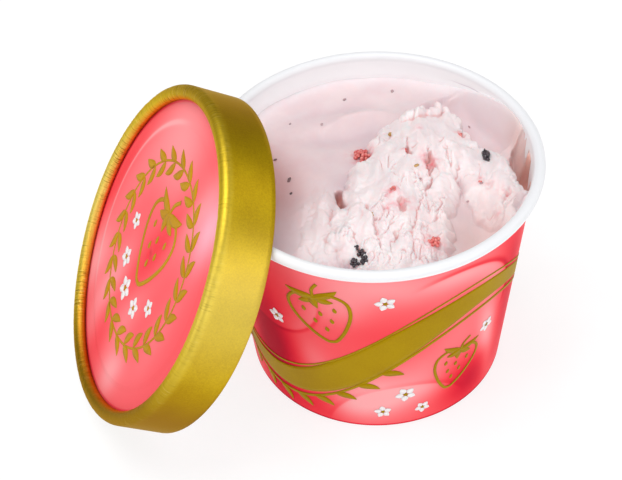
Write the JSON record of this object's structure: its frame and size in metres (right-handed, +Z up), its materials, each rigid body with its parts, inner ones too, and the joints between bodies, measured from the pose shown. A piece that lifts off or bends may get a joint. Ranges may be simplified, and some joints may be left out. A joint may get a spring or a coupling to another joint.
{
  "type": "gelato cup",
  "caption": "Round paper gelato cup, scooped strawberry gelato inside, with its flat gold-edged lid leaning against the rim.",
  "frame": {"origin": "bottom centre of the whole's bounding box, on the surface that the cup and the lid stand on", "axes": "+Z up, +X from the leaning lid towards the cup, -Y towards the side the picture was taken from"},
  "size_m": [0.1102, 0.0781, 0.0726],
  "materials": {
    "printed_card": "pink printed card, satin",
    "white_card": "coated white card",
    "gelato": "pale pink gelato, moist",
    "gold_card": "gold card, satin"
  },
  "bodies": {
    "root": {"cup_wall": "printed_card", "cup_floor": "white_card", "gelato": "gelato", "lid_band": "gold_card", "lid_panel": "printed_card"}
  },
  "joints": []
}
